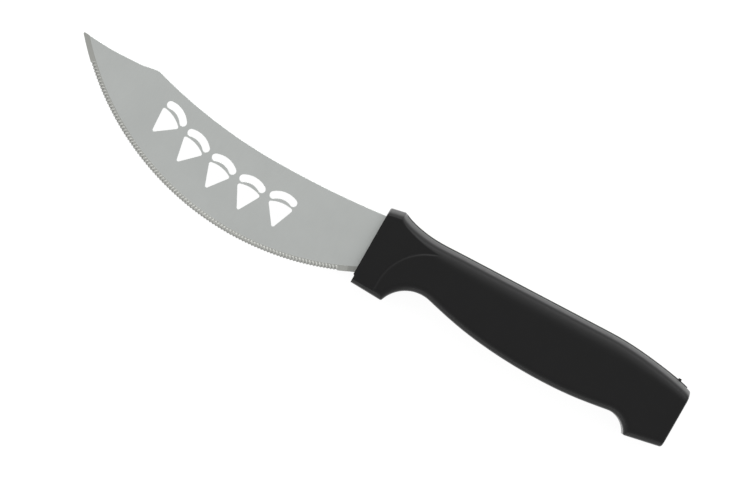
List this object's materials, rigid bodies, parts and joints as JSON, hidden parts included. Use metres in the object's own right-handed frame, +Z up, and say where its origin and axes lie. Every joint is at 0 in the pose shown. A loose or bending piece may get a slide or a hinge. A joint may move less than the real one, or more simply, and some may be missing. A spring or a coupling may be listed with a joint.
{
  "type": "rocking pizza knife",
  "caption": "Pizza knife with a curved, finely serrated blade cut through by slice-shaped windows, and a moulded handle with a guard, a finger notch and a hooked butt.",
  "frame": {"origin": "under the middle of the box round the whole knife, at the level of the handle's lower cheek", "axes": "+X from the blade's tip to the butt of the handle, +Y from the cutting edge to the spine, +Z up through the thickness: the knife lies flat on its side, ground side up"},
  "size_m": [0.2498, 0.0379, 0.016],
  "materials": {
    "blade_steel": "fine satin grinding, lighter along the ground edge",
    "handle_plastic": "black, satin, as moulded"
  },
  "bodies": {
    "root": {"blade": "blade_steel", "handle": "handle_plastic"}
  },
  "joints": []
}
